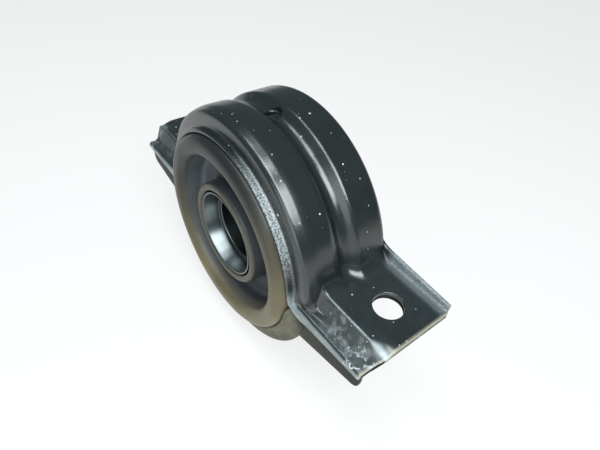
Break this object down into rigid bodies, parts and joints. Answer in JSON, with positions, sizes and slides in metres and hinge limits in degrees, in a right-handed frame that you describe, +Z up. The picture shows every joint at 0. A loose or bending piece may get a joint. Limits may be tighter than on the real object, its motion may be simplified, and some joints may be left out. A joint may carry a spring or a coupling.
{
  "type": "driveshaft centre bearing",
  "caption": "Driveshaft centre bearing: a sealed ball bearing in a rubber cushion, held by a pressed-steel clamshell bracket with a bolt ear at each side.",
  "frame": {"origin": "middle of the shaft bore, at mid-depth of the bracket", "axes": "+X along the ears, +Y along the shaft bore from the front face to the rear, +Z up through the crown of the arch"},
  "size_m": [0.202, 0.0568, 0.128],
  "materials": {
    "bracket_paint": "glossy black paint over pressed steel",
    "cushion_rubber": "smooth satin moulded rubber",
    "carrier_steel": "plain pressed steel",
    "race_steel": "ground bearing steel",
    "seal_rubber": "matt seal rubber",
    "slinger_steel": "polished dark steel",
    "cage_steel": "pressed cage steel",
    "ball_steel": "polished ball steel"
  },
  "bodies": {
    "bracket": {"upper_bracket": "bracket_paint", "lower_bracket": "bracket_paint", "rubber_cushion": "cushion_rubber", "bearing_carrier": "carrier_steel", "retaining_ring": "carrier_steel", "outer_race": "race_steel", "front_seal": "seal_rubber", "rear_seal": "seal_rubber"},
    "shaft_ring": {"inner_race": "race_steel", "front_slinger": "slinger_steel", "rear_slinger": "slinger_steel"},
    "ball_cage": {"cage_front": "cage_steel", "cage_rear": "cage_steel", "cage_rivets": "cage_steel", "ball_1": "ball_steel", "ball_2": "ball_steel", "ball_3": "ball_steel", "ball_4": "ball_steel", "ball_5": "ball_steel", "ball_6": "ball_steel", "ball_7": "ball_steel", "ball_8": "ball_steel", "ball_9": "ball_steel"}
  },
  "joints": [
    {"name": "shaft_spin", "type": "hinge", "parent": "bracket", "child": "shaft_ring", "pos_m": [0, 0, 0], "axis": [0, 1, 0], "continuous": true},
    {"name": "cage_spin", "type": "hinge", "parent": "bracket", "child": "ball_cage", "pos_m": [0, 0, 0], "axis": [0, 1, 0], "continuous": true}
  ],
  "couplings": [
    {"joint": "cage_spin", "follows": "shaft_spin", "ratio": 0.3981}
  ]
}
